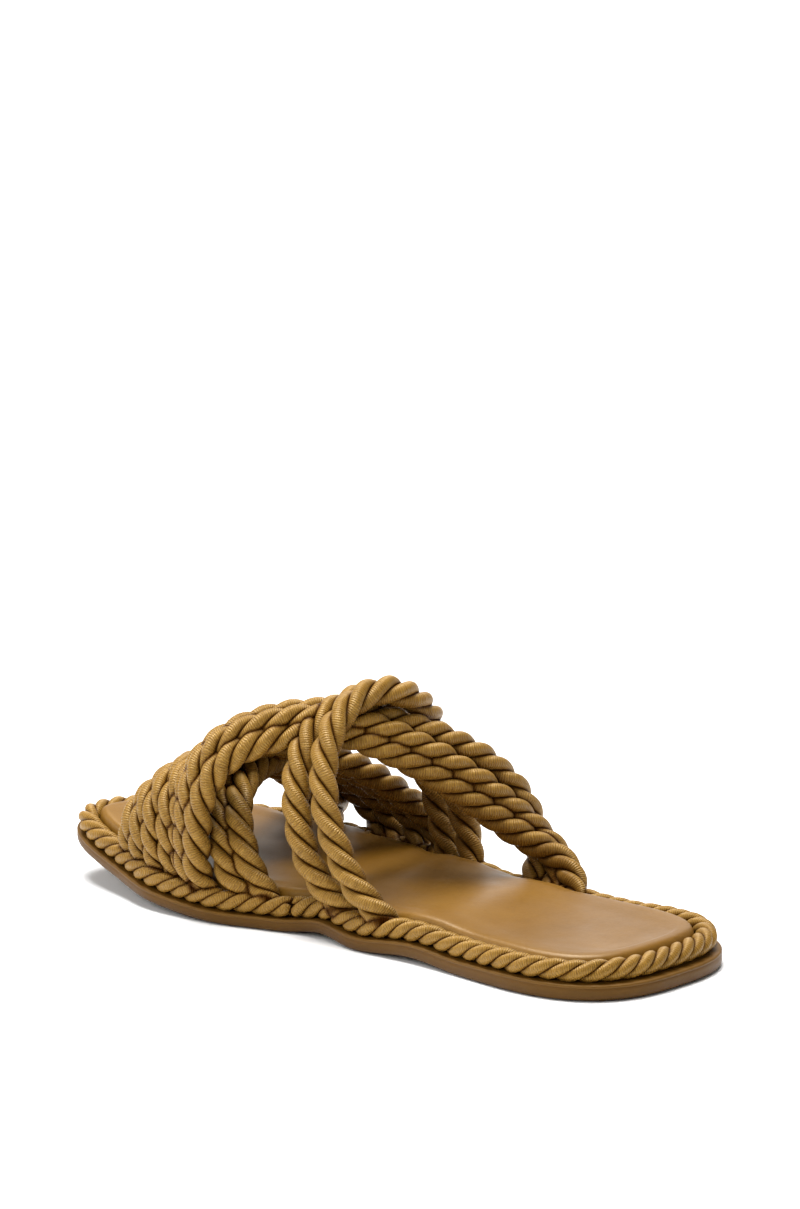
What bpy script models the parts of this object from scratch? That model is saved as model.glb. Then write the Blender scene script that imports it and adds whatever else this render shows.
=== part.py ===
"""Rope slide sandal, right foot: outsole, padded insole, twisted rope round the rim and an upper of eleven ropes.

Frame: +Z up, the ground at z = 0, the heel towards +Y, the toe towards -Y, the inner (medial) side of the foot towards +X.
Lengths below are in millimetres; MM turns them into metres. "v" is the distance from the back of the heel towards the toe.
"""

import math

import bmesh
import bpy
import numpy as np

MM = 0.001

# ---- driving dimensions ----
LENGTH = 262.0
HEEL_V = -4.6  # the back of the heel
STATIONS = 44  # cross-sections along the sole
COLUMNS = 4  # strips across the sole's flat faces

# The outsole's plan outline: half width and centre-line offset by distance from the heel.
WIDTH_V = (0, 42, 75, 105, 130, 155, 180, 205, 225, 262)
WIDTH_HALF = (45.8, 45.9, 44.3, 43.8, 45.0, 50.1, 55.7, 55.8, 50.3, 44.3)
CENTRE_V = (0, 50, 90, 125, 155, 185, 210, 235, 262)
CENTRE_X = (0.0, 0.1, -0.9, -2.1, -1.5, 0.4, 1.4, 0.9, 1.9)
HEEL_ROUND, HEEL_POWER = 50.0, 2.75  # length of the rounded heel and how square it is
TOE_ROUND, TOE_POWER = 47.5, 3.7
TOE_SLANT, TOE_CUT = 0.27, 0.50  # the toe reaches further forward on the inner side, and is cut back on the outer
# The inner edge swells a little at the arch and draws in before the ball: distance from the heel, reach, amount.
INNER_SWELLS = ((113.0, 19.0, 3.6), (137.0, 15.0, -1.6))
HEEL_SETBACK = 2.2  # at the back of the heel the footbed and the rim rope stand this much further in
ORIGIN_X, ORIGIN_Y = -1.36, -0.14  # the middle of the footprint, seen from the middle of the sole's length

# The outsole's side profile.
THICK_HEEL, THICK_TOE = 5.7, 4.4
ARCHES = ((62.0, 113.0, 1.6), (113.0, 151.0, 1.8))  # from, to, rise
SPRING_FROM, SPRING_RISE, SPRING_POWER = 167.7, 14.1, 1.8
TWIST_FROM, TWIST_DROP = 172.0, 2.0  # the forefoot turns a little: its outer side stays this much lower

# The footbed: inset from the outsole's edge, and height over the outsole's top, thicker under the ball than the heel.
INSOLE_INSET = 9.6
INSOLE_V, INSOLE_HEIGHT = (0, 60, 150, 262), (7.9, 8.0, 9.8, 9.6)
# Inset and height fraction of each ring of the footbed's wall, from the outsole up to the flat top.
INSOLE_WALL = (
    (10.4, 0.0),
    (9.2, 0.2),
    (8.9, 0.5),
    (9.5, 0.8),
    (11.3, 0.96),
    (14.5, 1.0),
)
GAP = 0.3  # clearance between separate pieces

# The rope round the rim.
RIM_ROPE_R, RIM_ROPE_INSET = 3.7, 4.5
RIM_SIDES = 8
RIM_STATIONS = 36

# The upper's ropes.
ROPE_R, ROPE_SIDES, ROPE_STEPS = 5.1, 8, 20
FOOT_OUT, FOOT_UP = 1.5, 2.0  # where each rope ends, outside the footbed's edge and over the outsole
FOOT_SWEEP = 5.5  # each inner foot bends this far towards the heel before it goes under the footbed
POCKET_FACES = 60  # a separate shell with fewer faces than this is a pocket, not a rope
WAIST_IN, WAIST_OUT = 0.30, 0.20  # height of the widest point over the rope's crest, inner and outer side
# How square the arch's widest points are, inner and outer side.
ARCH_IN, ARCH_OUT = 0.91, 1.46
# One row per rope. in_v and out_v: where it leaves the footbed's inner and outer edge. bow: shift towards the toe at
# the crest. swing: shift towards the toe on the inner half and to the heel on the outer. in_b, out_b: how far it
# bulges past its feet. rise: crest height over its feet. crest_x: where across the foot the crest is. in_p, out_p:
# how full its shoulder is on each side, fuller when smaller. lean: shift towards the toe, only on the way down outside.
ROPES = {
    # name      in_v   out_v   bow  swing  in_b  out_b  rise  crest_x  in_p  out_p  lean
    "band_1": (230.0, 185.7, 4.2, -2.5, 3.8, 9.0, 40.2, -3.9, 0.80, 1.20, 0.0),
    "band_2": (220.8, 178.3, 3.1, 0.3, 3.5, 8.4, 44.5, -1.2, 0.62, 1.34, 0.0),
    "band_3": (211.2, 167.2, 3.5, 2.9, 1.9, 8.6, 47.9, 4.5, 0.52, 1.38, 0.0),
    "band_4": (202.9, 153.0, 5.7, 3.3, 1.2, 10.2, 51.8, 9.9, 0.50, 1.56, 0.0),
    "band_5": (197.5, 101.6, 0.6, 11.2, 1.1, 12.6, 68.6, 12.6, 0.69, 0.87, 0.0),
    "band_6": (192.2, 89.9, 7.4, 11.3, 3.5, 13.2, 68.2, 18.4, 0.55, 1.70, 0.0),
    "band_7": (186.5, 76.9, 18.8, 6.6, 5.4, 8.6, 63.6, 19.6, 0.52, 2.12, 0.0),
    "under_1": (169.0, 222.0, 12.6, -3.0, 2.0, 9.4, 39.6, 4.4, 0.80, 1.28, 0.0),
    "under_2": (160.0, 214.5, 10.0, 0.6, 1.6, 9.4, 41.3, 3.5, 0.80, 1.42, 0.0),
    "over_1": (122.1, 144.9, 14.8, 9.1, 6.3, 2.9, 74.4, 1.8, 0.93, 0.58, 22.0),
    "over_2": (103.1, 131.8, 21.8, 9.8, 4.7, 4.0, 77.8, 1.0, 1.00, 0.87, 14.0),
}

COLOURS = {
    "outsole": ((0.17, 0.085, 0.03, 1), 0.55),
    "insole": ((0.33, 0.18, 0.065, 1), 0.4),
    "edge_rope": ((0.42, 0.27, 0.10, 1), 0.5),
    "upper": ((0.42, 0.27, 0.10, 1), 0.5),
}


# ---- curves from tables ----
def smooth(table_v, table_y, v):
    """A smooth curve through the table, with slopes that don't overshoot."""
    x, y = np.asarray(table_v, float), np.asarray(table_y, float)
    h, step = np.diff(x), np.diff(y) / np.diff(x)
    slope = np.zeros(len(x))
    for i in range(1, len(x) - 1):
        slope[i] = (step[i - 1] * h[i] + step[i] * h[i - 1]) / (h[i - 1] + h[i])
        limit = 3 * min(abs(step[i - 1]), abs(step[i])) + 0.05
        slope[i] = max(-limit, min(limit, slope[i]))
    slope[0], slope[-1] = step[0], step[-1]
    v = np.clip(np.asarray(v, float), x[0], x[-1])
    i = np.clip(np.searchsorted(x, v, side="right") - 1, 0, len(x) - 2)
    t = (v - x[i]) / h[i]
    return (
        (2 * t**3 - 3 * t**2 + 1) * y[i]
        + (t**3 - 2 * t**2 + t) * h[i] * slope[i]
        + (3 * t**2 - 2 * t**3) * y[i + 1]
        + (t**3 - t**2) * h[i] * slope[i + 1]
    )


def ground_clearance(x, v):
    """Height of the outsole's underside: flat at the heel and the ball, lifted at the arch and the toe."""
    v = np.asarray(v, float)
    spring = (
        SPRING_RISE
        * np.clip((v - SPRING_FROM) / (LENGTH - SPRING_FROM), 0, None) ** SPRING_POWER
    )
    lift = 0.0
    for start, end, rise in ARCHES:
        turn = 2 * math.pi * (v - start) / (end - start)
        lift = lift + np.where(
            (v > start) & (v < end), rise * (0.5 - 0.5 * np.cos(turn)), 0.0
        )
    outer_side = np.clip((5 - np.asarray(x, float)) / 45, 0, 1)
    drop = TWIST_DROP * outer_side * np.clip((v - TWIST_FROM) / 28, 0, 1)
    return np.maximum(0.0, spring - drop) + lift


def outsole_top(x, v):
    v = np.asarray(v, float)
    thick = THICK_HEEL + (THICK_TOE - THICK_HEEL) * np.clip((v - 40) / 130, 0, 1)
    return ground_clearance(x, v) + thick


def insole_height(v):
    return smooth(INSOLE_V, INSOLE_HEIGHT, v)


def outline(inset, stations=STATIONS):
    """The plan outline moved inwards by inset, as (inner side, outer side), each from heel to toe as rows of x and v."""
    fine = 4 * stations
    v = 0.5 - 0.5 * np.cos(np.pi * np.linspace(0, 1, fine + 1))
    v = HEEL_V + (LENGTH - HEEL_V) * v
    half = smooth(WIDTH_V, WIDTH_HALF, v)
    heel = np.clip(1 - (v - HEEL_V) / HEEL_ROUND, 0, 1)
    toe = np.clip(1 - (LENGTH - v) / TOE_ROUND, 0, 1)
    half = half * (1 - heel**HEEL_POWER) ** (1 / HEEL_POWER)
    half = half * np.clip(1 - toe**TOE_POWER, 0, 1) ** (1 / TOE_POWER)
    mid = smooth(CENTRE_V, CENTRE_X, v)
    near_toe = half * np.clip((v - (LENGTH - 60)) / 60, 0, 1)
    swell = sum(
        amount * np.exp(-(((v - at) / reach) ** 2)) for at, reach, amount in INNER_SWELLS
    )
    ring = np.vstack(
        [
            np.stack([mid + half + swell, v + TOE_SLANT * near_toe], -1),
            np.stack([mid - half, v - TOE_CUT * near_toe], -1)[::-1][1:-1],
        ]
    )
    along = np.roll(ring, -1, 0) - np.roll(ring, 1, 0)
    inward = np.stack([-along[:, 1], along[:, 0]], -1)
    inward /= np.linalg.norm(inward, axis=1, keepdims=True)
    ring = ring + inward * inset
    near_heel = np.clip(1 - (ring[:, 1] - HEEL_V - inset) / 45, 0, 1) ** 1.5
    ring[:, 1] += HEEL_SETBACK * min(1.0, max(0.0, inset / 4.4)) * near_heel
    # Equal spacing round each side keeps the faces even at the heel and the toe.
    inner = ring[: fine + 1]
    outer = np.vstack([ring[fine:], ring[:1]])[::-1]
    return resample(inner, stations), resample(outer, stations)


def resample(line, count):
    """The line cut into equal lengths, its ends kept."""
    run = np.concatenate(
        [[0], np.cumsum(np.linalg.norm(np.diff(line, axis=0), axis=1))]
    )
    at = np.linspace(0, run[-1], count + 1)
    return np.stack(
        [np.interp(at, run, line[:, k]) for k in range(line.shape[1])], -1
    )


def point(x, v, z):
    return ((x - ORIGIN_X) * MM, (LENGTH / 2 - v - ORIGIN_Y) * MM, z * MM)


# ---- solids ----
def new_object(name, verts, faces, colour_of=None):
    mesh = bpy.data.meshes.new(name)
    mesh.from_pydata([tuple(p) for p in verts], [], faces)
    made = bmesh.new()
    made.from_mesh(mesh)
    bmesh.ops.recalc_face_normals(made, faces=made.faces)
    # Flat faces only, so that the Booleans meet no twisted ones.
    bmesh.ops.triangulate(made, faces=made.faces)
    made.to_mesh(mesh)
    made.free()
    obj = bpy.data.objects.new(name, mesh)
    if colour_of:
        rgba, rough = COLOURS[colour_of]
        material = bpy.data.materials.new(colour_of)
        material.use_nodes = True
        shader = material.node_tree.nodes["Principled BSDF"]
        shader.inputs["Base Color"].default_value = rgba
        shader.inputs["Roughness"].default_value = rough
        mesh.materials.append(material)
    return obj


def plate(name, rings, colour_of=None):
    """A closed plate between plan outlines. rings: (inset, height function of x and v) from the underside to the top."""
    sides = [outline(inset) for inset, _ in rings]
    verts, loops = [], []
    n = STATIONS
    for (inner, outer), (_, height) in zip(sides, rings):
        loop = np.vstack([inner, outer[::-1][1:-1]])
        loops.append(range(len(verts), len(verts) + len(loop)))
        verts += [point(x, v, float(height(x, v))) for x, v in loop]
    faces = []
    count = len(loops[0])
    for low, high in zip(loops, loops[1:]):
        for i in range(count):
            j = (i + 1) % count
            faces.append((low[i], low[j], high[j], high[i]))
    # Both flat faces are strips from the inner side to the outer side.
    for which in (0, -1):
        inner, outer = sides[which]
        height = rings[which][1]
        loop = loops[which]
        rows = []
        for k in range(1, n):
            row = [loop[k]]
            for c in range(1, COLUMNS):
                x, v = inner[k] + (outer[k] - inner[k]) * c / COLUMNS
                row.append(len(verts))
                verts.append(point(x, v, float(height(x, v))))
            row.append(loop[count - k])
            rows.append(row)
        for a, b in zip(rows, rows[1:]):
            for c in range(COLUMNS):
                faces.append((a[c], a[c + 1], b[c + 1], b[c]))
        for row, tip in ((rows[0], loop[0]), (rows[-1], loop[n])):
            for c in range(COLUMNS):
                faces.append((row[c], row[c + 1], tip))
    return new_object(name, verts, faces, colour_of)


def tube(name, centre, radius, sides, closed=False, colour_of=None, side_hint=None):
    """A round tube along the centre line, which is rows of x, y and z in metres."""
    n = len(centre)
    if closed:
        along = np.roll(centre, -1, 0) - np.roll(centre, 1, 0)
    else:
        along = np.gradient(centre, axis=0)
    along /= np.linalg.norm(along, axis=1, keepdims=True)
    hint = np.array(side_hint if side_hint is not None else (0.0, 1.0, 0.0))
    across = np.cross(along, hint)
    across /= np.linalg.norm(across, axis=1, keepdims=True)
    up = np.cross(across, along)
    verts, faces = [], []
    for k in range(n):
        for s in range(sides):
            turn = 2 * math.pi * (s + 0.5) / sides
            verts.append(
                centre[k]
                + radius * (math.cos(turn) * across[k] + math.sin(turn) * up[k])
            )
    for k in range(n if closed else n - 1):
        m = (k + 1) % n
        for s in range(sides):
            t = (s + 1) % sides
            faces.append((k * sides + s, k * sides + t, m * sides + t, m * sides + s))
    if not closed:
        faces.append(tuple(range(sides)))
        faces.append(tuple(reversed(range((n - 1) * sides, n * sides))))
    return new_object(name, verts, faces, colour_of)


def footbed_edge(v, inner):
    """x of the footbed's edge at v, and the height of a rope's foot there."""
    side = outline(INSOLE_INSET, 4 * STATIONS)[0 if inner else 1]
    side = side[np.argsort(side[:, 1])]
    x = float(np.interp(v, side[:, 1], side[:, 0]))
    return x + (FOOT_OUT if inner else -FOOT_OUT), float(outsole_top(x, v)) + FOOT_UP


def rope_line(row, steps=ROPE_STEPS):
    """Centre line of one rope of the upper, from its inner foot over the crest to its outer foot."""
    in_v, out_v, bow, swing, in_b, out_b, rise, crest_x, in_p, out_p, lean = row
    x_in, z_in = footbed_edge(in_v, True)
    x_out, z_out = footbed_edge(out_v, False)
    wide_in, wide_out = x_in + in_b - crest_x, crest_x - (x_out - out_b)
    tuck_in = math.acos(((x_in - crest_x) / wide_in) ** (1 / ARCH_IN))
    tuck_out = math.acos(((crest_x - x_out) / wide_out) ** (1 / ARCH_OUT))
    fine = []
    for k in range(241):
        s = k / 240
        turn = -tuck_in + (math.pi + tuck_in + tuck_out) * s
        c, h = math.cos(turn), math.sin(turn)
        if c > 0:
            x = crest_x + wide_in * c**ARCH_IN
            waist, power, tuck = WAIST_IN * rise, in_p, tuck_in
        else:
            x = crest_x - wide_out * (-c) ** ARCH_OUT
            waist, power, tuck = WAIST_OUT * rise, out_p, tuck_out
        if h > 0:
            z = waist + (rise - waist) * h**power
        else:
            z = waist * (1 + h / math.sin(tuck))
        z += z_in * (1 - s) + z_out * s
        v = in_v + (out_v - in_v) * s
        v += bow * math.sin(math.pi * s) + swing * math.sin(2 * math.pi * s)
        v += lean * math.sin(math.pi * max(0.0, 2 * s - 1) ** 1.5) ** 2
        v -= FOOT_SWEEP * max(0.0, 1 - s / 0.09) ** 1.5
        fine.append(point(x, v, z))
    return resample(np.array(fine), steps)


def apply_boolean(obj, others, operation):
    for other in others:
        step = obj.modifiers.new(other.name, "BOOLEAN")
        step.operation, step.solver, step.object = operation, "EXACT", other


def without_pockets(obj):
    """Gives obj the shape its Booleans make, with the small sealed pockets between crossing ropes filled."""
    graph = bpy.context.evaluated_depsgraph_get()
    mesh = bpy.data.meshes.new_from_object(obj.evaluated_get(graph))
    made = bmesh.new()
    made.from_mesh(mesh)
    seen, pockets = set(), []
    for start in made.faces:
        if start in seen:
            continue
        seen.add(start)
        island, waiting = [], [start]
        while waiting:
            face = waiting.pop()
            island.append(face)
            for edge in face.edges:
                for other in edge.link_faces:
                    if other not in seen:
                        seen.add(other)
                        waiting.append(other)
        if len(island) < POCKET_FACES:
            pockets += island
    bmesh.ops.delete(made, geom=pockets, context="FACES")
    for face in made.faces:
        face.material_index = 0
    made.to_mesh(mesh)
    made.free()
    material = obj.data.materials[0]
    obj.modifiers.clear()
    obj.data = mesh
    mesh.materials.clear()
    mesh.materials.append(material)


def collection(name):
    made = bpy.data.collections.new(name)
    bpy.context.scene.collection.children.link(made)
    return made


def main():
    for old in list(bpy.data.objects):
        bpy.data.objects.remove(old, do_unlink=True)
    shoe, cutters = collection("rope_slide_sandal"), collection("cutters")

    outsole = plate(
        "outsole",
        [
            (0.9, ground_clearance),
            (0.0, lambda x, v: ground_clearance(x, v) + 0.9),
            (0.0, lambda x, v: outsole_top(x, v) - 0.7),
            (0.5, outsole_top),
        ],
        "outsole",
    )

    def wall(level, extra=0.0):
        return lambda x, v: (
            outsole_top(x, v) + 2 * GAP + (insole_height(v) - 2 * GAP) * level + extra
        )

    insole = plate(
        "insole", [(inset, wall(level)) for inset, level in INSOLE_WALL], "insole"
    )

    def rim_line(stations):
        inner, outer = outline(RIM_ROPE_INSET, stations)
        loop = np.vstack([inner, outer[::-1][1:-1]])
        return np.array(
            [
                point(x, v, float(outsole_top(x, v)) + GAP + RIM_ROPE_R + 0.1)
                for x, v in loop
            ]
        )

    rim = rim_line(RIM_STATIONS)
    edge_rope = tube(
        "edge_rope", rim, RIM_ROPE_R * MM, RIM_SIDES, True, "edge_rope", (0, 0, 1)
    )

    # The upper: the ropes joined where they cross, then cut clear of the sole under them.
    ropes = [
        tube("rope_" + name, rope_line(row), ROPE_R * MM, ROPE_SIDES)
        for name, row in ROPES.items()
    ]
    upper = tube(
        "upper",
        rope_line(ROPES["over_1"]),
        ROPE_R * MM,
        ROPE_SIDES,
        colour_of="upper",
    )
    clear_insole = plate(
        "clear_insole",
        [(10.0 - GAP - 1.0, lambda x, v: outsole_top(x, v) - 8.0)]
        + [(inset - GAP - 0.4, wall(level, GAP + 0.3)) for inset, level in INSOLE_WALL],
    )
    clear_outsole = plate(
        "clear_outsole",
        [
            (-12.0, lambda x, v: outsole_top(x, v) - 12.0),
            (-12.0, lambda x, v: outsole_top(x, v) + GAP + 0.15),
        ],
    )
    clear_rim = tube(
        "clear_rim", rim, (RIM_ROPE_R + GAP + 0.1) * MM, RIM_SIDES, True, None, (0, 0, 1)
    )
    apply_boolean(upper, [r for r in ropes if r.name != "rope_over_1"], "UNION")
    apply_boolean(upper, [clear_insole, clear_outsole, clear_rim], "DIFFERENCE")

    for obj in (outsole, insole, edge_rope, upper):
        shoe.objects.link(obj)
    for obj in [*ropes, clear_insole, clear_outsole, clear_rim]:
        cutters.objects.link(obj)
        obj.hide_render = True
        obj.display_type = "WIRE"
    bpy.context.view_layer.update()
    without_pockets(upper)


main()
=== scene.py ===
"""Looks of a rope slide sandal, right foot: twisted strands, wrapped leather footbed, moulded sole edge, pale studio.

Frame: +Z up, heel towards +Y, toe towards -Y, the inner side of the foot towards +X. Tables are in millimetres, and
point() turns them into metres. "v" is the distance from the back of the heel towards the toe.
"""

import math

import bpy
import numpy as np
from mathutils import Matrix, Vector


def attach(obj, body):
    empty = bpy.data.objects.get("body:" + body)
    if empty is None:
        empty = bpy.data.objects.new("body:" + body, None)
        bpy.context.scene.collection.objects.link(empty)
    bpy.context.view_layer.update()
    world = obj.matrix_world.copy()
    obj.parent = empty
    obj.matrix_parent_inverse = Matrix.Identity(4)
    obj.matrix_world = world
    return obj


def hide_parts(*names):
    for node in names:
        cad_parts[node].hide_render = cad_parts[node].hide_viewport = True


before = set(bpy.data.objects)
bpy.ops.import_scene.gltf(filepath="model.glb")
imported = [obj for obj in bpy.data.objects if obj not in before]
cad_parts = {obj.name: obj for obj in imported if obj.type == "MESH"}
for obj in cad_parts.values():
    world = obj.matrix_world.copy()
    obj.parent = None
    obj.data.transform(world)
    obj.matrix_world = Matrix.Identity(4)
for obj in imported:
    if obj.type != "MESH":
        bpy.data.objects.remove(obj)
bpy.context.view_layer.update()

MM = 0.001

# ---- the sole's shape, as in the solid model ----
LENGTH = 262.0
HEEL_V = -4.6
WIDTH_V = (0, 42, 75, 105, 130, 155, 180, 205, 225, 262)
WIDTH_HALF = (45.8, 45.9, 44.3, 43.8, 45.0, 50.1, 55.7, 55.8, 50.3, 44.3)
CENTRE_V = (0, 50, 90, 125, 155, 185, 210, 235, 262)
CENTRE_X = (0.0, 0.1, -0.9, -2.1, -1.5, 0.4, 1.4, 0.9, 1.9)
HEEL_ROUND, HEEL_POWER = 50.0, 2.75
TOE_ROUND, TOE_POWER = 47.5, 3.7
TOE_SLANT, TOE_CUT = 0.27, 0.50
INNER_SWELLS = ((113.0, 19.0, 3.6), (137.0, 15.0, -1.6))
HEEL_SETBACK = 2.2
ORIGIN_X, ORIGIN_Y = -1.36, -0.14
THICK_HEEL, THICK_TOE = 5.7, 4.4
ARCHES = ((62.0, 113.0, 1.6), (113.0, 151.0, 1.8))
SPRING_FROM, SPRING_RISE, SPRING_POWER = 167.7, 14.1, 1.8
TWIST_FROM, TWIST_DROP = 172.0, 2.0
INSOLE_INSET = 9.6
INSOLE_V, INSOLE_HEIGHT = (0, 60, 150, 262), (7.9, 8.0, 9.8, 9.6)
RIM_ROPE_INSET = 4.5

# ---- the upper's ropes, as in the solid model ----
FOOT_OUT, FOOT_UP, FOOT_SWEEP = 1.5, 2.0, 5.5
WAIST_IN, WAIST_OUT = 0.30, 0.20
ARCH_IN, ARCH_OUT = 0.91, 1.46
ROPES = {
    # name      in_v   out_v   bow  swing  in_b  out_b  rise  crest_x  in_p  out_p  lean
    "band_1": (230.0, 185.7, 4.2, -2.5, 3.8, 9.0, 40.2, -3.9, 0.80, 1.20, 0.0),
    "band_2": (220.8, 178.3, 3.1, 0.3, 3.5, 8.4, 44.5, -1.2, 0.62, 1.34, 0.0),
    "band_3": (211.2, 167.2, 3.5, 2.9, 1.9, 8.6, 47.9, 4.5, 0.52, 1.38, 0.0),
    "band_4": (202.9, 153.0, 5.7, 3.3, 1.2, 10.2, 51.8, 9.9, 0.50, 1.56, 0.0),
    "band_5": (197.5, 101.6, 0.6, 11.2, 1.1, 12.6, 68.6, 12.6, 0.69, 0.87, 0.0),
    "band_6": (192.2, 89.9, 7.4, 11.3, 3.5, 13.2, 68.2, 18.4, 0.55, 1.70, 0.0),
    "band_7": (186.5, 76.9, 18.8, 6.6, 5.4, 8.6, 63.6, 19.6, 0.52, 2.12, 0.0),
    "under_1": (169.0, 222.0, 12.6, -3.0, 2.0, 9.4, 39.6, 4.4, 0.80, 1.28, 0.0),
    "under_2": (160.0, 214.5, 10.0, 0.6, 1.6, 9.4, 41.3, 3.5, 0.80, 1.42, 0.0),
    "over_1": (122.1, 144.9, 14.8, 9.1, 6.3, 2.9, 74.4, 1.8, 0.93, 0.58, 22.0),
    "over_2": (103.1, 131.8, 21.8, 9.8, 4.7, 4.0, 77.8, 1.0, 1.00, 0.87, 14.0),
}

# ---- the twist of the ropes ----
# strand: half thickness of one strand, outwards and sideways. laid: how far its middle is from the rope's middle.
UPPER_TWIST = {"strand": (2.62, 2.62), "laid": 2.88, "lay": 28.5}
RIM_TWIST = {"strand": (1.96, 2.08), "laid": 2.16, "lay": 22.0}
# How far from the next strand, in millimetres, a point has to be to lie out of the painted shade line between them.
NOOK_SHADE_REACH = 1.35
# Where each rope's twist starts, in turns, and how much longer or shorter its lay is.
TWIST_START = {
    "band_1": (0.05, 0.96),
    "band_2": (0.41, 1.02),
    "band_3": (0.73, 0.98),
    "band_4": (0.18, 1.03),
    "band_5": (0.52, 1.00),
    "band_6": (0.86, 1.02),
    "band_7": (0.30, 0.97),
    "under_1": (0.64, 1.05),
    "under_2": (0.12, 1.08),
    "over_1": (0.40, 1.12),
    "over_2": (0.78, 1.14),
}


# ---- curves from tables ----
def smooth(table_v, table_y, v):
    x, y = np.asarray(table_v, float), np.asarray(table_y, float)
    h, step = np.diff(x), np.diff(y) / np.diff(x)
    slope = np.zeros(len(x))
    for i in range(1, len(x) - 1):
        slope[i] = (step[i - 1] * h[i] + step[i] * h[i - 1]) / (h[i - 1] + h[i])
        limit = 3 * min(abs(step[i - 1]), abs(step[i])) + 0.05
        slope[i] = max(-limit, min(limit, slope[i]))
    slope[0], slope[-1] = step[0], step[-1]
    v = np.clip(np.asarray(v, float), x[0], x[-1])
    i = np.clip(np.searchsorted(x, v, side="right") - 1, 0, len(x) - 2)
    t = (v - x[i]) / h[i]
    return (
        (2 * t**3 - 3 * t**2 + 1) * y[i]
        + (t**3 - 2 * t**2 + t) * h[i] * slope[i]
        + (3 * t**2 - 2 * t**3) * y[i + 1]
        + (t**3 - t**2) * h[i] * slope[i + 1]
    )


def ground_clearance(x, v):
    v = np.asarray(v, float)
    spring = (
        SPRING_RISE
        * np.clip((v - SPRING_FROM) / (LENGTH - SPRING_FROM), 0, None) ** SPRING_POWER
    )
    lift = 0.0
    for start, end, rise in ARCHES:
        turn = 2 * math.pi * (v - start) / (end - start)
        lift = lift + np.where(
            (v > start) & (v < end), rise * (0.5 - 0.5 * np.cos(turn)), 0.0
        )
    outer_side = np.clip((5 - np.asarray(x, float)) / 45, 0, 1)
    drop = TWIST_DROP * outer_side * np.clip((v - TWIST_FROM) / 28, 0, 1)
    return np.maximum(0.0, spring - drop) + lift


def outsole_top(x, v):
    v = np.asarray(v, float)
    thick = THICK_HEEL + (THICK_TOE - THICK_HEEL) * np.clip((v - 40) / 130, 0, 1)
    return ground_clearance(x, v) + thick


def insole_height(v):
    return smooth(INSOLE_V, INSOLE_HEIGHT, v)


def resample(line, count):
    run = np.concatenate(
        [[0], np.cumsum(np.linalg.norm(np.diff(line, axis=0), axis=1))]
    )
    at = np.linspace(0, run[-1], count + 1)
    return np.stack(
        [np.interp(at, run, line[:, k]) for k in range(line.shape[1])], -1
    )


def outline(inset, stations):
    """The plan outline moved inwards by inset, as (inner side, outer side), each from heel to toe as rows of x and v."""
    fine = 960
    v = 0.5 - 0.5 * np.cos(np.pi * np.linspace(0, 1, fine + 1))
    v = HEEL_V + (LENGTH - HEEL_V) * v
    half = smooth(WIDTH_V, WIDTH_HALF, v)
    heel = np.clip(1 - (v - HEEL_V) / HEEL_ROUND, 0, 1)
    toe = np.clip(1 - (LENGTH - v) / TOE_ROUND, 0, 1)
    half = half * (1 - heel**HEEL_POWER) ** (1 / HEEL_POWER)
    half = half * np.clip(1 - toe**TOE_POWER, 0, 1) ** (1 / TOE_POWER)
    mid = smooth(CENTRE_V, CENTRE_X, v)
    near_toe = half * np.clip((v - (LENGTH - 60)) / 60, 0, 1)
    swell = sum(
        amount * np.exp(-(((v - at) / reach) ** 2)) for at, reach, amount in INNER_SWELLS
    )
    ring = np.vstack(
        [
            np.stack([mid + half + swell, v + TOE_SLANT * near_toe], -1),
            np.stack([mid - half, v - TOE_CUT * near_toe], -1)[::-1][1:-1],
        ]
    )
    along = np.roll(ring, -1, 0) - np.roll(ring, 1, 0)
    inward = np.stack([-along[:, 1], along[:, 0]], -1)
    inward /= np.linalg.norm(inward, axis=1, keepdims=True)
    ring = ring + inward * inset
    near_heel = np.clip(1 - (ring[:, 1] - HEEL_V - inset) / 45, 0, 1) ** 1.5
    ring[:, 1] += HEEL_SETBACK * min(1.0, max(0.0, inset / 4.4)) * near_heel
    inner = ring[: fine + 1]
    outer = np.vstack([ring[fine:], ring[:1]])[::-1]
    return resample(inner, stations), resample(outer, stations)


def point(x, v, z):
    return ((x - ORIGIN_X) * MM, (LENGTH / 2 - v - ORIGIN_Y) * MM, z * MM)


def footbed_edge(v, inner):
    side = outline(INSOLE_INSET, 240)[0 if inner else 1]
    side = side[np.argsort(side[:, 1])]
    x = float(np.interp(v, side[:, 1], side[:, 0]))
    return x + (FOOT_OUT if inner else -FOOT_OUT), float(outsole_top(x, v)) + FOOT_UP


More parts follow.
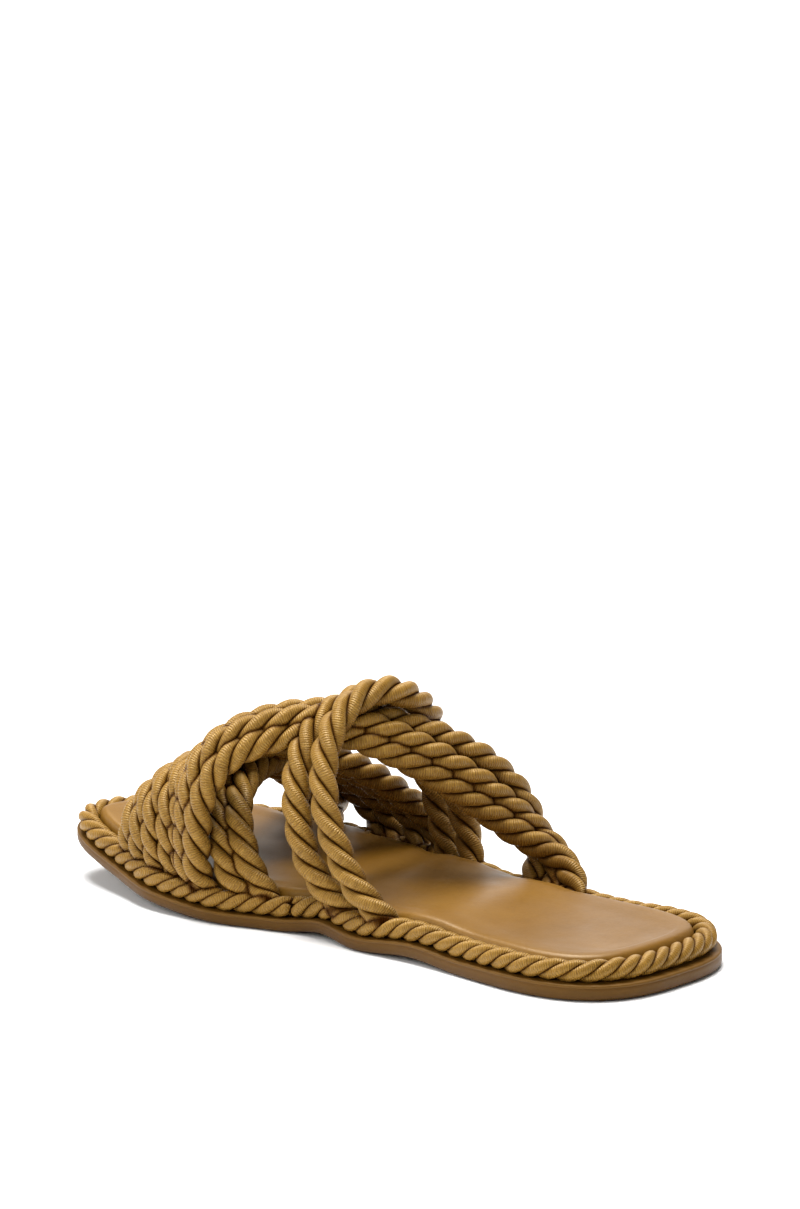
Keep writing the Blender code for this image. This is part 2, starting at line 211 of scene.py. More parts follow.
def rope_line(row, spacing):
    """Centre line of one rope, in metres, with points this many millimetres apart."""
    in_v, out_v, bow, swing, in_b, out_b, rise, crest_x, in_p, out_p, lean = row
    x_in, z_in = footbed_edge(in_v, True)
    x_out, z_out = footbed_edge(out_v, False)
    wide_in, wide_out = x_in + in_b - crest_x, crest_x - (x_out - out_b)
    tuck_in = math.acos(((x_in - crest_x) / wide_in) ** (1 / ARCH_IN))
    tuck_out = math.acos(((crest_x - x_out) / wide_out) ** (1 / ARCH_OUT))
    fine = []
    for k in range(481):
        s = k / 480
        turn = -tuck_in + (math.pi + tuck_in + tuck_out) * s
        c, h = math.cos(turn), math.sin(turn)
        if c > 0:
            x = crest_x + wide_in * c**ARCH_IN
            waist, power, tuck = WAIST_IN * rise, in_p, tuck_in
        else:
            x = crest_x - wide_out * (-c) ** ARCH_OUT
            waist, power, tuck = WAIST_OUT * rise, out_p, tuck_out
        if h > 0:
            z = waist + (rise - waist) * h**power
        else:
            z = waist * (1 + h / math.sin(tuck))
        z += z_in * (1 - s) + z_out * s
        v = in_v + (out_v - in_v) * s
        v += bow * math.sin(math.pi * s) + swing * math.sin(2 * math.pi * s)
        v += lean * math.sin(math.pi * max(0.0, 2 * s - 1) ** 1.5) ** 2
        v -= FOOT_SWEEP * max(0.0, 1 - s / 0.09) ** 1.5
        fine.append(point(x, v, z))
    line = np.array(fine)
    # The tables bend sharply at the widest points and the crest; a real rope is stiff, so its bends are rounded.
    even = resample(line, 240)
    for _ in range(60):
        even[1:-1] += 0.5 * ((even[:-2] + even[2:]) / 2 - even[1:-1])
    length = np.linalg.norm(np.diff(even, axis=0), axis=1).sum()
    return resample(even, max(20, int(round(length / (spacing * MM)))))


# ---- meshes ----
def unit(rows):
    return rows / np.maximum(np.linalg.norm(rows, axis=-1, keepdims=True), 1e-12)


def mesh_object(name, verts, faces, uvs=None, flat=False):
    """verts: rows of x, y, z. faces: list of index tuples. uvs: one row a face corner, in face order."""
    mesh = bpy.data.meshes.new(name)
    mesh.from_pydata(np.asarray(verts, float).tolist(), [], faces)
    if uvs is not None:
        layer = mesh.uv_layers.new(name="along")
        layer.data.foreach_set("uv", np.asarray(uvs, np.float32).ravel())
    mesh.update()
    if not flat:
        mesh.shade_smooth()
    obj = bpy.data.objects.new(name, mesh)
    bpy.context.scene.collection.objects.link(obj)
    return obj


class Soup:
    """Collects grids of quads, with a UV for each corner, for one mesh."""

    def __init__(self):
        self.verts, self.faces, self.uvs, self.count = [], [], [], 0
        self.free = []

    def tube(self, rings, run, girth, caps=True):
        """rings: rows of rings of points. run: distance along, in metres. girth: length round, in metres."""
        n, sides = rings.shape[:2]
        base = self.count
        self.verts.append(rings.reshape(-1, 3))
        self.count += n * sides
        k, s = np.meshgrid(np.arange(n - 1), np.arange(sides), indexing="ij")
        k, s = k.ravel(), s.ravel()
        t = (s + 1) % sides
        quads = np.stack(
            [k * sides + s, k * sides + t, (k + 1) * sides + t, (k + 1) * sides + s], -1
        )
        self.faces += (quads + base).tolist()
        across = girth / sides
        uv = np.stack(
            [
                np.stack([run[k], s * across], -1),
                np.stack([run[k], (s + 1) * across], -1),
                np.stack([run[k + 1], (s + 1) * across], -1),
                np.stack([run[k + 1], s * across], -1),
            ],
            1,
        )
        self.uvs.append(uv.reshape(-1, 2))
        if caps:
            self.faces.append((base + np.arange(sides)[::-1]).tolist())
            self.faces.append((base + (n - 1) * sides + np.arange(sides)).tolist())
            self.uvs.append(np.zeros((2 * sides, 2)))

    def make(self, name):
        obj = mesh_object(name, np.vstack(self.verts), self.faces, np.vstack(self.uvs))
        # The "free" value, from shade_nooks, sets the painted shade in the rope material.
        attribute = obj.data.attributes.new("free", "FLOAT", "POINT")
        attribute.data.foreach_set("value", np.concatenate(self.free).astype(np.float32))
        return obj


def carried_frame(line):
    """Tangents, and two normals that turn as little as possible along the line."""
    tangent = unit(np.gradient(line, axis=0))
    normal = np.zeros_like(line)
    start = np.cross(tangent[0], (0.0, 1.0, 0.0))
    normal[0] = start / np.linalg.norm(start)
    for i in range(1, len(line)):
        carried = normal[i - 1] - tangent[i] * (normal[i - 1] @ tangent[i])
        normal[i] = carried / np.linalg.norm(carried)
    return tangent, normal, np.cross(tangent, normal)


def wavering(count, scale, seed):
    """A smooth random line of this many values, about one bend each scale steps, within -1 and 1."""
    rng = np.random.default_rng(seed)
    knots = rng.uniform(-1, 1, int(count / scale) + 4)
    at = np.arange(count) / scale
    i = at.astype(int)
    t = at - i
    t = t * t * (3 - 2 * t)
    return knots[i] * (1 - t) + knots[i + 1] * t


# Every strand that is laid: its middle line, its half thickness there, the points on it, the soup that it is in, and
# the factor of painted shade on its inner side.
STRANDS = []


def shade_nooks():
    """Gives each point of each strand a value from 0, touching another strand, to 1, clear of all the others, lowered
    on the side facing the foot; the rope material paints shade where the value is low.
    """
    starts = np.cumsum([0] + [len(strand[0]) for strand in STRANDS])
    middles = np.vstack([strand[0] for strand in STRANDS])
    radii = np.concatenate([strand[1] for strand in STRANDS])
    for i, (_, _, points, soup, inner_shade_factor) in enumerate(STRANDS):
        low, high = points.min(axis=0) - 0.008, points.max(axis=0) + 0.008
        near = ((middles > low) & (middles < high)).all(axis=1)
        near[starts[i] : starts[i + 1]] = False
        others, half = middles[near], radii[near]
        gaps = []
        for at in range(0, len(points), 1500):
            part = points[at : at + 1500]
            square = (
                (part**2).sum(1)[:, None] + (others**2).sum(1)[None, :] - 2 * part @ others.T
            )
            gaps.append((np.sqrt(np.maximum(square, 0)) - half[None, :]).min(axis=1))
        t = np.clip(np.concatenate(gaps) / (NOOK_SHADE_REACH * MM), 0, 1)
        soup.free.append(t * t * (3 - 2 * t) * inner_shade_factor)


def lay_rope(soup, line, twist, start, stretch, sides, seed, pinch=None, shrink=None):
    """Three strands laid left-handed round the line.
    pinch: (directions, how much thickness is left along them) at each point. shrink: scale of the whole rope there."""
    tangent, normal, other = carried_frame(line)
    run = np.concatenate(
        [[0], np.cumsum(np.linalg.norm(np.diff(line, axis=0), axis=1))]
    )
    n = len(line)
    thick_out, thick_side = (t * MM for t in twist["strand"])
    turn = -2 * math.pi * (run / (twist["lay"] * stretch * MM) - start)
    turn += 0.10 * wavering(n, 22, seed)
    shrink = np.ones(n) if shrink is None else shrink
    around = 2 * math.pi * np.arange(sides) / sides
    for k in range(3):
        a = turn + 2 * math.pi * k / 3
        out = np.cos(a)[:, None] * normal + np.sin(a)[:, None] * other
        waver = 1 + 0.045 * wavering(n, 17, seed * 7 + k)
        laid = twist["laid"] * MM * (1 + 0.05 * wavering(n, 13, seed * 11 + k))
        middle = line + out * (laid * shrink)[:, None]
        along = unit(np.gradient(middle, axis=0))
        up = unit(out - along * (out * along).sum(1, keepdims=True))
        side = np.cross(along, up)
        close = np.minimum(run, run[-1] - run) / thick_out
        cap = np.sqrt(np.clip(1 - (1 - np.clip(close, 0, 1)) ** 2, 0.0, 1.0)) * 0.97 + 0.03
        r_out = thick_out * waver * shrink * cap
        r_side = thick_side * waver * shrink * cap
        rings = (
            middle[:, None, :]
            + (r_out[:, None] * np.cos(around))[..., None] * up[:, None, :]
            + (r_side[:, None] * np.sin(around))[..., None] * side[:, None, :]
        )
        if pinch is not None:
            direction, left, spread = pinch
            offset = rings - line[:, None, :]
            part = (offset * direction[:, None, :]).sum(-1, keepdims=True)
            offset = offset - part * direction[:, None, :] * (1 - left)[:, None, None]
            wide = unit(np.cross(direction, tangent))
            part = (offset * wide[:, None, :]).sum(-1, keepdims=True)
            offset = offset + part * wide[:, None, :] * (spread - 1)[:, None, None]
            rings = line[:, None, :] + offset
        arc = np.concatenate(
            [[0], np.cumsum(np.linalg.norm(np.diff(middle, axis=0), axis=1))]
        )
        soup.tube(rings, arc, 2 * math.pi * (thick_out + thick_side) / 2)
        # How much each point faces the foot's space; on the upper's ropes that side gets painted shade: its nook value
        # is lowered by up to half, which darkens it and dulls its gloss.
        core = np.stack(
            [-ORIGIN_X * MM - line[:, 0], np.zeros(n), 0.02 - line[:, 2]], axis=-1
        )
        facing = (unit(rings - line[:, None, :]) * unit(core)[:, None, :]).sum(-1)
        inner_shade_factor = 1 - (0.0 if pinch is None else 0.5) * np.clip(1.3 * facing, 0, 1)
        STRANDS.append((rings.mean(axis=1), r_out, rings.reshape(-1, 3), soup, inner_shade_factor.ravel()))


# ---- materials ----
def material(name):
    made = bpy.data.materials.new(name)
    made.use_nodes = True
    tree = made.node_tree
    shader = tree.nodes["Principled BSDF"]
    return made, tree, shader


def node(tree, kind, **settings):
    made = tree.nodes.new(kind)
    for key, value in settings.items():
        if key in made.inputs:
            made.inputs[key].default_value = value
        else:
            setattr(made, key, value)
    return made


def ramp(tree, source, stops, interpolation="LINEAR"):
    made = tree.nodes.new("ShaderNodeValToRGB")
    made.color_ramp.interpolation = interpolation
    elements = made.color_ramp.elements
    while len(elements) > 1:
        elements.remove(elements[-1])
    elements[0].position, elements[0].color = stops[0]
    for position, colour in stops[1:]:
        element = elements.new(position)
        element.color = colour
    tree.links.new(source, made.inputs["Fac"])
    return made


def mixed(tree, factor, first, second, blend="MIX"):
    made = tree.nodes.new("ShaderNodeMix")
    made.data_type, made.blend_type = "RGBA", blend
    sockets = {s.identifier: s for s in made.inputs}
    for value, key in (
        (factor, "Factor_Float"),
        (first, "A_Color"),
        (second, "B_Color"),
    ):
        if isinstance(value, bpy.types.NodeSocket):
            tree.links.new(value, sockets[key])
        else:
            sockets[key].default_value = value
    return next(s for s in made.outputs if s.identifier == "Result_Color")


def maths(tree, operation, a, b=None):
    made = tree.nodes.new("ShaderNodeMath")
    made.operation = operation
    for value, socket in ((a, made.inputs[0]), (b, made.inputs[1])):
        if isinstance(value, bpy.types.NodeSocket):
            tree.links.new(value, socket)
        elif value is not None:
            socket.default_value = value
    return made.outputs[0]


def cord_material(name, deep, middle, light, rib):
    """Satin thread wound round each strand: fine ribs across it, soft streaks and a silky gloss, with painted shade in
    the grooves between ribs, in the nooks between strands and on the side facing the foot.
    """
    made, tree, shader = material(name)
    link = tree.links.new
    where = node(tree, "ShaderNodeUVMap", uv_map="along")
    # Ribs: one wound thread each rib millimetres, a little uneven.
    drift = node(tree, "ShaderNodeTexNoise", Scale=260.0, Detail=2.0)
    link(where.outputs["UV"], drift.inputs["Vector"])
    shift = maths(tree, "MULTIPLY", drift.outputs["Fac"], 0.00045)
    split = tree.nodes.new("ShaderNodeSeparateXYZ")
    link(where.outputs["UV"], split.inputs[0])
    lean = maths(tree, "MULTIPLY", split.outputs["Y"], 0.16)
    moved = maths(tree, "ADD", maths(tree, "ADD", split.outputs["X"], shift), lean)
    wave = maths(tree, "SINE", maths(tree, "MULTIPLY", moved, 2 * math.pi / (rib * MM)))
    # Uneven threads: noise that is long round the strand and short along it.
    stretch = node(tree, "ShaderNodeMapping")
    stretch.inputs["Scale"].default_value = (1900.0, 90.0, 1.0)
    link(where.outputs["UV"], stretch.inputs["Vector"])
    threads = node(tree, "ShaderNodeTexNoise", Scale=1.0, Detail=3.0, Roughness=0.6)
    link(stretch.outputs["Vector"], threads.inputs["Vector"])
    place = node(tree, "ShaderNodeTexCoord")
    patch = node(tree, "ShaderNodeTexNoise", Scale=42.0, Detail=3.0, Roughness=0.55)
    link(place.outputs["Object"], patch.inputs["Vector"])
    tone = ramp(
        tree,
        threads.outputs["Fac"],
        [(0.22, (*deep, 1)), (0.5, (*middle, 1)), (0.80, (*light, 1))],
    )
    soft = ramp(
        tree,
        patch.outputs["Fac"],
        [(0.3, (0.80, 0.78, 0.74, 1)), (0.7, (1.0, 1.0, 1.0, 1))],
    )
    colour = mixed(tree, 1.0, tone.outputs["Color"], soft.outputs["Color"], "MULTIPLY")
    # Painted shade: the colour is darkened in the grooves between the ribs, down to about two thirds.
    rib_groove_shade = maths(tree, "MULTIPLY_ADD", wave, 0.17)
    rib_groove_shade.node.inputs[2].default_value = 0.85
    shade = node(tree, "ShaderNodeCombineColor")
    for channel in ("Red", "Green", "Blue"):
        link(rib_groove_shade, shade.inputs[channel])
    colour = mixed(tree, 1.0, colour, shade.outputs["Color"], "MULTIPLY")
    # Painted shade: the colour is darkened along the lines where strands lie against each other, and on the side
    # facing the foot.
    free = node(tree, "ShaderNodeAttribute", attribute_name="free")
    nook_painted_shade = ramp(
        tree,
        free.outputs["Fac"],
        [
            (0.0, (0.09, 0.042, 0.005, 1)),
            (0.30, (0.36, 0.26, 0.13, 1)),
            (0.80, (0.92, 0.90, 0.87, 1)),
            (1.0, (1.0, 1.0, 1.0, 1)),
        ],
    )
    colour = mixed(tree, 1.0, colour, nook_painted_shade.outputs["Color"], "MULTIPLY")
    link(colour, shader.inputs["Base Color"])
    rough = ramp(
        tree,
        threads.outputs["Fac"],
        [(0.25, (0.52, 0.52, 0.52, 1)), (0.75, (0.36, 0.36, 0.36, 1))],
    )
    link(rough.outputs["Color"], shader.inputs["Roughness"])
    height = maths(tree, "ADD", maths(tree, "MULTIPLY", wave, 0.42), threads.outputs["Fac"])
    bump = node(tree, "ShaderNodeBump", Strength=0.75, Distance=0.00026)
    link(height, bump.inputs["Height"])
    link(bump.outputs["Normal"], shader.inputs["Normal"])
    # The gloss is lowered by the same value, so the painted shade in the nooks shows no reflection.
    gloss = maths(tree, "MULTIPLY", free.outputs["Fac"], 0.70)
    link(gloss, shader.inputs["Specular IOR Level"])
    shader.inputs["Specular Tint"].default_value = (1.0, 0.74, 0.36, 1)
    shader.inputs["Sheen Weight"].default_value = 0.03
    shader.inputs["Sheen Roughness"].default_value = 0.42
    shader.inputs["Sheen Tint"].default_value = (1.0, 0.72, 0.34, 1)
    shader.inputs["Anisotropic"].default_value = 0.35
    return made


def leather_material(name):
    """Smooth tan leather: fine pores, soft cloudy tone, a satin finish, and a painted highlight, a lighter tone, along
    the rolled edge.
    """
    made, tree, shader = material(name)
    link = tree.links.new
    place = node(tree, "ShaderNodeTexCoord")
    cloud = node(tree, "ShaderNodeTexNoise", Scale=24.0, Detail=5.0, Roughness=0.55)
    link(place.outputs["Object"], cloud.inputs["Vector"])
    tone = ramp(
        tree,
        cloud.outputs["Fac"],
        [
            (0.30, (0.128, 0.055, 0.0026, 1)),
            (0.52, (0.156, 0.069, 0.0036, 1)),
            (0.75, (0.186, 0.086, 0.0058, 1)),
        ],
    )
    edge = node(tree, "ShaderNodeAttribute", attribute_name="edge")
    # Painted highlight: the rolled edge is mixed towards a lighter tan, as where it catches the light.
    edge_painted_highlight = mixed(
        tree,
        maths(tree, "MULTIPLY", edge.outputs["Fac"], 0.40),
        tone.outputs["Color"],
        (0.25, 0.128, 0.012, 1),
    )
    speck = node(tree, "ShaderNodeTexNoise", Scale=900.0, Detail=2.0)
    link(place.outputs["Object"], speck.inputs["Vector"])
    specks = ramp(
        tree,
        speck.outputs["Fac"],
        [(0.30, (0.90, 0.88, 0.86, 1)), (0.55, (1.0, 1.0, 1.0, 1))],
    )
    colour = mixed(tree, 1.0, edge_painted_highlight, specks.outputs["Color"], "MULTIPLY")
    link(colour, shader.inputs["Base Color"])
    rub = node(tree, "ShaderNodeTexNoise", Scale=60.0, Detail=6.0, Roughness=0.65)
    link(place.outputs["Object"], rub.inputs["Vector"])
    rough = ramp(
        tree,
        rub.outputs["Fac"],
        [(0.3, (0.37, 0.37, 0.37, 1)), (0.7, (0.49, 0.49, 0.49, 1))],
    )
    link(rough.outputs["Color"], shader.inputs["Roughness"])
    pores = node(tree, "ShaderNodeTexVoronoi", Scale=1500.0, feature="F1")
    link(place.outputs["Object"], pores.inputs["Vector"])
    grain = node(tree, "ShaderNodeTexNoise", Scale=420.0, Detail=4.0, Roughness=0.6)
    link(place.outputs["Object"], grain.inputs["Vector"])
    height = maths(tree, "ADD", maths(tree, "MULTIPLY", pores.outputs["Distance"], 0.5), grain.outputs["Fac"])
    bump = node(tree, "ShaderNodeBump", Strength=0.32, Distance=0.00012)
    link(height, bump.inputs["Height"])
    link(bump.outputs["Normal"], shader.inputs["Normal"])
    shader.inputs["Specular IOR Level"].default_value = 0.5
    shader.inputs["Specular Tint"].default_value = (1.0, 0.77, 0.46, 1)
    shader.inputs["Coat Weight"].default_value = 0.08
    shader.inputs["Coat Roughness"].default_value = 0.32
    return made


def sole_material(name):
    """Brown edge finish: a paler top layer, darker towards the bottom, slightly darker at the groove, fine streaks,
    low satin gloss.
    """
    made, tree, shader = material(name)
    link = tree.links.new
    place = node(tree, "ShaderNodeTexCoord")
    level = node(tree, "ShaderNodeAttribute", attribute_name="level")
    bands = ramp(
        tree,
        level.outputs["Fac"],
        [
            (0.0, (0.040, 0.017, 0.004, 1)),
            (0.10, (0.066, 0.026, 0.002, 1)),
            (0.70, (0.092, 0.037, 0.003, 1)),
            (0.775, (0.084, 0.034, 0.003, 1)),
            (0.80, (0.110, 0.047, 0.005, 1)),
            (1.0, (0.122, 0.055, 0.006, 1)),
        ],
    )
    streak = node(tree, "ShaderNodeMapping")
    streak.inputs["Scale"].default_value = (60.0, 60.0, 420.0)
    link(place.outputs["Object"], streak.inputs["Vector"])
    grain = node(tree, "ShaderNodeTexNoise", Scale=1.0, Detail=5.0, Roughness=0.65)
    link(streak.outputs["Vector"], grain.inputs["Vector"])
    tone = ramp(
        tree,
        grain.outputs["Fac"],
        [(0.25, (0.78, 0.76, 0.74, 1)), (0.6, (1.0, 1.0, 1.0, 1)), (0.85, (1.14, 1.14, 1.14, 1))],
    )
    colour = mixed(tree, 1.0, bands.outputs["Color"], tone.outputs["Color"], "MULTIPLY")
    link(colour, shader.inputs["Base Color"])
    rough = ramp(
        tree,
        grain.outputs["Fac"],
        [(0.3, (0.42, 0.42, 0.42, 1)), (0.75, (0.58, 0.58, 0.58, 1))],
    )
    link(rough.outputs["Color"], shader.inputs["Roughness"])
    fine = node(tree, "ShaderNodeTexNoise", Scale=700.0, Detail=4.0)
    link(place.outputs["Object"], fine.inputs["Vector"])
    height = maths(tree, "ADD", maths(tree, "MULTIPLY", grain.outputs["Fac"], 0.8), fine.outputs["Fac"])
    bump = node(tree, "ShaderNodeBump", Strength=0.35, Distance=0.00015)
    link(height, bump.inputs["Height"])
    link(bump.outputs["Normal"], shader.inputs["Normal"])
    shader.inputs["Specular IOR Level"].default_value = 0.35
    shader.inputs["Specular Tint"].default_value = (1.0, 0.78, 0.46, 1)
    return made


rope_look = cord_material(
    "wound_cord", (0.168, 0.074, 0.008), (0.292, 0.150, 0.021), (0.410, 0.232, 0.046), 0.80
)
leather_look = leather_material("footbed_leather")
sole_look = sole_material("sole_edge")


# ---- the upper's ropes ----
def foot_pinch(line, inner_first=True):
    """How each rope narrows where it goes down between footbed and rim rope, at both ends."""
    run = np.concatenate(
        [[0], np.cumsum(np.linalg.norm(np.diff(line, axis=0), axis=1))]
    )
    n = len(line)
    close = np.minimum(run, run[-1] - run) / MM
    t = np.clip(close / 13.0, 0, 1)
    t = t * t * (3 - 2 * t)
    # On the outer side there is more room, and the ropes stay rounder down to the footbed.
    outer_end = run > run[-1] / 2
    narrow = np.where(outer_end, 0.68, 0.50)
    left = narrow + (1 - narrow) * t
    spread = 1.10 - 0.10 * t
    direction = np.zeros((n, 3))
    direction[:, 0] = 1.0
    tangent = unit(np.gradient(line, axis=0))
    direction = unit(direction - tangent * (direction * tangent).sum(1, keepdims=True))
    least = np.where(outer_end, 0.97, 0.88)
    shrink = least + (1 - least) * np.clip(close / 9.0, 0, 1)
    return (direction, left, spread), shrink


SPACING = 1.0
SIDES = 20
groups = {
    "band_ropes": [n for n in ROPES if n.startswith("band")],
    "under_ropes": [n for n in ROPES if n.startswith("under")],
    "over_ropes": [n for n in ROPES if n.startswith("over")],
}
soups = {}
for seed, (piece_name, names) in enumerate(groups.items()):
    soup = soups[piece_name] = Soup()
    for i, rope_name in enumerate(names):
        line = rope_line(ROPES[rope_name], SPACING)
        start, stretch = TWIST_START[rope_name]
        pinch, shrink = foot_pinch(line)
        lay_rope(
            soup, line, UPPER_TWIST, start, stretch, SIDES, 10 * seed + i + 1, pinch, shrink
        )

# ---- the rope round the rim ----
JOINT_V = 147.0
inner, outer = outline(RIM_ROPE_INSET, 500)
loop = np.vstack([inner, outer[::-1][1:-1]])
first = int(np.argmin(np.abs(inner[:, 1] - JOINT_V)))
loop = np.roll(loop, -first, axis=0)
loop = np.vstack([loop, loop[:1]])


def pressed(x, v):
    """How much of its thickness the rope keeps: it is drawn down along the outer side, behind the footbed."""
    along = min(1.0, max(0.0, (v - 26) / 22)) * min(1.0, max(0.0, (168 - v) / 22))
    return 1 - (0.15 * along if x < 0 else 0.0)


rim_line = np.array(
    [
        (*point(x, v, float(outsole_top(x, v)) + 4.0 * pressed(x, v) - 0.05), pressed(x, v))
        for x, v in loop
    ]
)
rim_length = np.linalg.norm(np.diff(rim_line[:, :3], axis=0), axis=1).sum()
rim_line = resample(rim_line, int(rim_length / (1.0 * MM)))
soups["rim_rope"] = Soup()
lay_rope(
    soups["rim_rope"],
    rim_line[:, :3],
    RIM_TWIST,
    0.2,
    1.0,
    SIDES - 4,
    77,
    None,
    rim_line[:, 3],
)
shade_nooks()
for piece_name, soup in soups.items():
    ropes = soup.make(piece_name)
    ropes.data.materials.append(rope_look)
    solid = "edge_rope" if piece_name == "rim_rope" else "upper"
    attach(ropes, "root")
    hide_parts(solid)


# ---- plates: outsole and footbed ----
def shell(name, rings, stations, columns, values_name, lift=None, push=None):
    """A closed plate between plan outlines. rings: (inset, height at x and v, value kept as an attribute)."""
    sides = [outline(inset, stations) for inset, _, _ in rings]
    verts, values, loops = [], [], []
    for (inner_side, outer_side), (inset, height, value) in zip(sides, rings):
        ring = np.vstack([inner_side, outer_side[::-1][1:-1]])
        loops.append(np.arange(len(verts), len(verts) + len(ring)))
        z = np.array([float(height(x, v)) for x, v in ring])
        if push is not None:
            ring, z = push(ring, z, value)
        verts += [point(x, v, h) for (x, v), h in zip(ring, z)]
        values += [value] * len(ring)
    faces = []
    count = len(loops[0])
    for low, high in zip(loops, loops[1:]):
        for i in range(count):
            j = (i + 1) % count
            faces.append((low[i], high[i], high[j], low[j]))
    for which in (0, -1):
        inner_side, outer_side = sides[which]
        height, value = rings[which][1], rings[which][2]
        ring = loops[which]
        rows = []
        for k in range(1, stations):
            row = [ring[k]]
            for c in range(1, columns):
                x, v = inner_side[k] + (outer_side[k] - inner_side[k]) * c / columns
                z = float(height(x, v))
                if which == -1 and lift is not None:
                    z += lift(x, v, c / columns, k / stations)
                row.append(len(verts))
                verts.append(point(x, v, z))
                values.append(value if which == 0 else rings[-1][2])
            row.append(ring[count - k])
            rows.append(row)
        turn = which == 0
        for a, b in zip(rows, rows[1:]):
            for c in range(columns):
                quad = (a[c], a[c + 1], b[c + 1], b[c])
                faces.append(quad if turn else quad[::-1])
        for row, tip, flip in ((rows[0], ring[0], False), (rows[-1], ring[stations], True)):
            for c in range(columns):
                triangle = (row[c], row[c + 1], tip)
                if flip != turn:
                    triangle = triangle[::-1]
                faces.append(triangle)
    faces = [tuple(int(i) for i in face) for face in faces]
    obj = mesh_object(name, verts, faces)
    attribute = obj.data.attributes.new(values_name, "FLOAT", "POINT")
    attribute.data.foreach_set("value", np.asarray(values, np.float32))
    return obj


def turned_out(obj):
    """Makes the faces point out."""
    import bmesh

    made = bmesh.new()
    made.from_mesh(obj.data)
    bmesh.ops.recalc_face_normals(made, faces=made.faces)
    made.to_mesh(obj.data)
    made.free()


def under(extra=0.0):
    return lambda x, v: ground_clearance(x, v) + extra


def over(extra=0.0):
    return lambda x, v: outsole_top(x, v) + extra


sole = shell(
    "sole",
    [
        (1.3, under(0.0), 0.0),
        (0.75, under(0.06), 0.02),
        (0.3, under(0.35), 0.08),
        (0.06, under(0.85), 0.15),
        (0.0, under(1.6), 0.30),
        (0.0, over(-2.2), 0.60),
        (0.02, over(-1.25), 0.74),
        (0.10, over(-1.08), 0.775),
        (0.02, over(-0.92), 0.80),
        (0.0, over(-0.5), 0.90),
        (0.12, over(-0.2), 0.95),
        (0.45, over(-0.02), 1.0),
    ],
    220,
    16,
    "level",
)
turned_out(sole)
sole.data.materials.append(sole_look)
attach(sole, "root")
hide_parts("outsole")

# The footbed: leather drawn round a foam pad, with a rolled edge, a shallow hollow for the foot, and small dents where
# the ropes press on it.
FEET = [
    (footbed_edge(row[0], True)[0], row[0]) for row in ROPES.values()
] + [(footbed_edge(row[1], False)[0], row[1]) for row in ROPES.values()]


def press(ring, z, value):
    """Moves the padded wall in a little under each rope, and puts fine gathers in it where it turns the corners."""
    moved = ring.copy()
    for x, v in FEET:
        d2 = (ring[:, 0] - x) ** 2 + (ring[:, 1] - v) ** 2
        dent = 1.5 * np.exp(-d2 / (2 * 5.0**2))
        moved[:, 0] -= np.sign(x) * dent
        z = z - 0.5 * dent * (value > 0.3)
    run = np.cumsum(np.linalg.norm(np.diff(np.vstack([ring, ring[:1]]), axis=0), axis=1))
    corner = np.clip((ring[:, 1] - 215) / 30, 0, 1) + np.clip((32 - ring[:, 1]) / 30, 0, 1)
    gather = np.sin(run * 2 * math.pi / 6.3 + 1.7 * np.sin(run / 9.0)) * corner
    z = z + 0.07 * gather * (0.2 < value) * (value < 0.95)
    return moved, z


def foot_hollow(x, v, c, k):
    """The top of the pad: a rolled edge, then a shallow hollow under the heel and the ball."""
    across = min(c, 1 - c) * 2
    from_end = min(v - 6.0, 250.0 - v)
    edge = min(across * 40.0, from_end) / 14.0
    edge = max(0.0, min(1.0, edge))
    edge = edge * edge * (3 - 2 * edge)
    heel = math.exp(-(((v - 38) / 30) ** 2)) * math.exp(-(((x) / 24) ** 2))
    ball = math.exp(-(((v - 185) / 32) ** 2)) * math.exp(-(((x - 3) / 30) ** 2))
    crown = 0.45 * math.sin(math.pi * min(1.0, across * 1.0) / 2) * (1 - edge)
    return crown - 0.35 * edge - 0.55 * heel - 0.5 * ball


wall = []
for k in range(17):
    turn = -0.42 * math.pi + (0.92 * math.pi) * k / 16
    inset = 12.6 - 3.75 * math.cos(turn) ** 0.72 if math.cos(turn) > 0 else 12.6
    level = 0.5 + 0.5 * math.sin(turn) / math.sin(0.42 * math.pi) if turn < 0 else 0.5 + 0.5 * math.sin(turn)
    wall.append((inset, max(0.0, level)))
wall += [(13.4, 1.004), (14.6, 1.006)]


def pad(level):
    return lambda x, v: outsole_top(x, v) + 0.15 + (insole_height(v) - 0.15) * level


footbed = shell(
    "footbed",
    [(inset, pad(level), min(1.0, level)) for inset, level in wall],
    240,
    44,
    "height",
    foot_hollow,
    press,
)
turned_out(footbed)
heights = np.zeros(len(footbed.data.vertices), np.float32)
footbed.data.attributes["height"].data.foreach_get("value", heights)
n_wall = len(wall) * (2 * 240)
# Painted highlight: the mask peaks on the pad's wall a little above halfway up, where the rolled edge catches the
# light.
edge_highlight_mask = np.zeros(len(heights), np.float32)
edge_highlight_mask[:n_wall] = np.clip(1.0 - np.abs(heights[:n_wall] - 0.62) / 0.42, 0, 1)
attribute = footbed.data.attributes.new("edge", "FLOAT", "POINT")
attribute.data.foreach_set("value", edge_highlight_mask)
footbed.data.materials.append(leather_look)
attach(footbed, "root")
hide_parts("insole")

# ---- studio ----
floor_mesh = bpy.data.meshes.new("floor")
floor_mesh.from_pydata(
    [(-6, -6, -0.0004), (6, -6, -0.0004), (6, 6, -0.0004), (-6, 6, -0.0004)], [], [(0, 1, 2, 3)]
)
floor = bpy.data.objects.new("floor", floor_mesh)
bpy.context.scene.collection.objects.link(floor)
floor_look, floor_tree, floor_shader = material("pale_floor")
floor_shader.inputs["Base Color"].default_value = (0.90, 0.90, 0.90, 1)
floor_shader.inputs["Roughness"].default_value = 0.85
floor_shader.inputs["Specular IOR Level"].default_value = 0.1
floor_mesh.materials.append(floor_look)

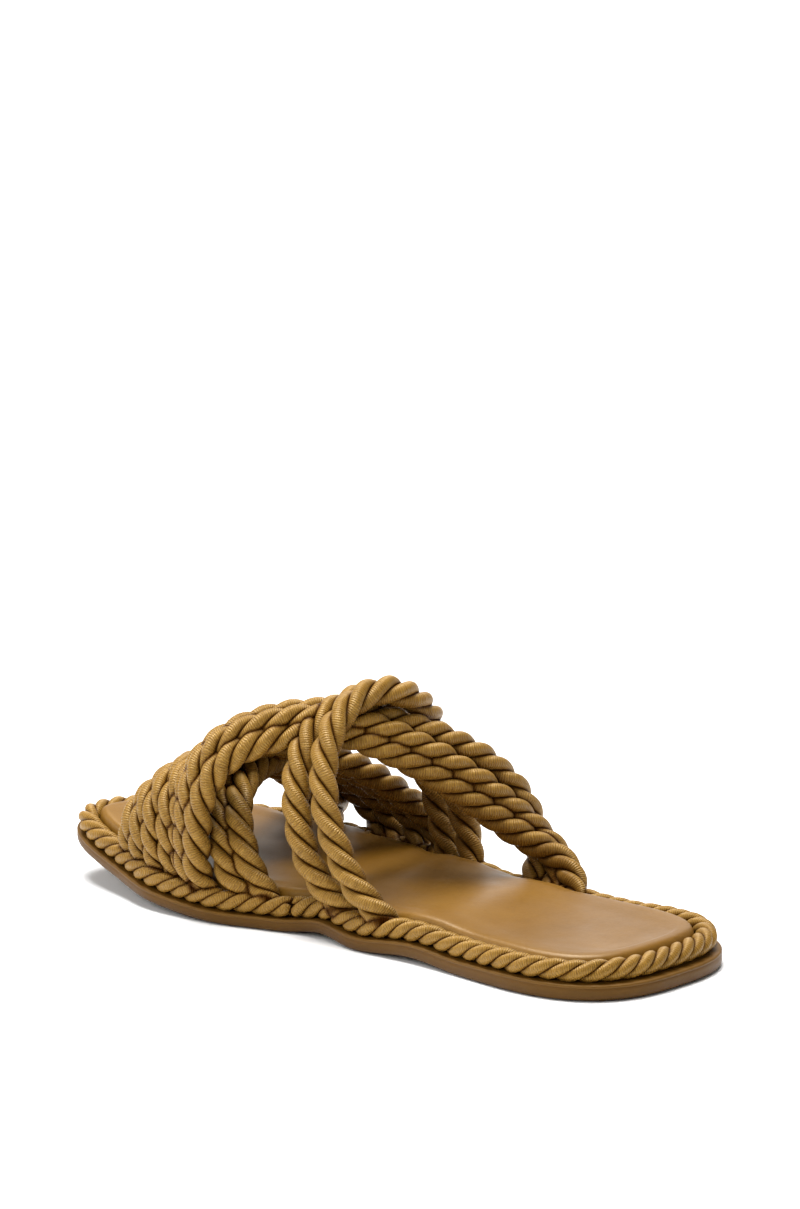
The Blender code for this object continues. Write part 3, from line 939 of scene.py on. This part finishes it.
world = bpy.data.worlds.new("studio")
bpy.context.scene.world = world
world.use_nodes = True
background = world.node_tree.nodes["Background"]
background.inputs["Color"].default_value = (1.0, 0.965, 0.91, 1)
background.inputs["Strength"].default_value = 0.31


def softbox(name, place, aim, size, power):
    data = bpy.data.lights.new(name, "AREA")
    data.shape, data.size, data.size_y = "RECTANGLE", size[0], size[1]
    data.energy = power
    lamp = bpy.data.objects.new(name, data)
    bpy.context.scene.collection.objects.link(lamp)
    lamp.location = place
    lamp.rotation_mode = "QUATERNION"
    lamp.rotation_quaternion = (Vector(aim) - Vector(place)).to_track_quat("-Z", "Y")
    return lamp


softbox("overhead", (-0.15, -0.30, 1.5), (0, 0, 0), (1.05, 1.05), 55)
softbox("front_fill", (1.5, 0.2, 0.9), (0, 0, 0.03), (1.0, 0.8), 8)
softbox("toe_fill", (0.9, -1.4, 0.9), (0, -0.1, 0.02), (1.2, 0.8), 8)
softbox("back_panel", (-2.45, -2.3, 0.85), (0, 0, 0.35), (3.2, 1.5), 17)

# Keeps the floor behind the sandal as pale as the floor under it.
wash_data = bpy.data.lights.new("floor_wash", "SPOT")
wash_data.energy, wash_data.shadow_soft_size = 900, 0.3
wash_data.spot_size, wash_data.spot_blend = math.radians(76), 0.9
wash = bpy.data.objects.new("floor_wash", wash_data)
bpy.context.scene.collection.objects.link(wash)
wash.location = (-1.9, -1.75, 2.6)

# ---- camera ----
camera_data = bpy.data.cameras.new("camera")
camera = bpy.data.objects.new("camera", camera_data)
bpy.context.scene.collection.objects.link(camera)
right = Vector((-0.67615531, 0.73675911, 0.0))
up = Vector((-0.1595359, -0.14641291, 0.97627432))
back = Vector((0.719279005, 0.66011307, 0.2165374))
turn = Matrix((right, up, back)).transposed().to_4x4()
turn.translation = Vector(
    (1.40423656 - ORIGIN_X * MM, 1.28839787 - ORIGIN_Y * MM, 0.541221236)
)
camera.matrix_world = turn
camera_data.sensor_fit = "AUTO"
camera_data.sensor_width = 36.0
camera_data.lens = 158.40
camera_data.clip_start, camera_data.clip_end = 0.05, 30.0
bpy.context.scene.camera = camera
bpy.context.scene.view_settings.view_transform = "Standard"
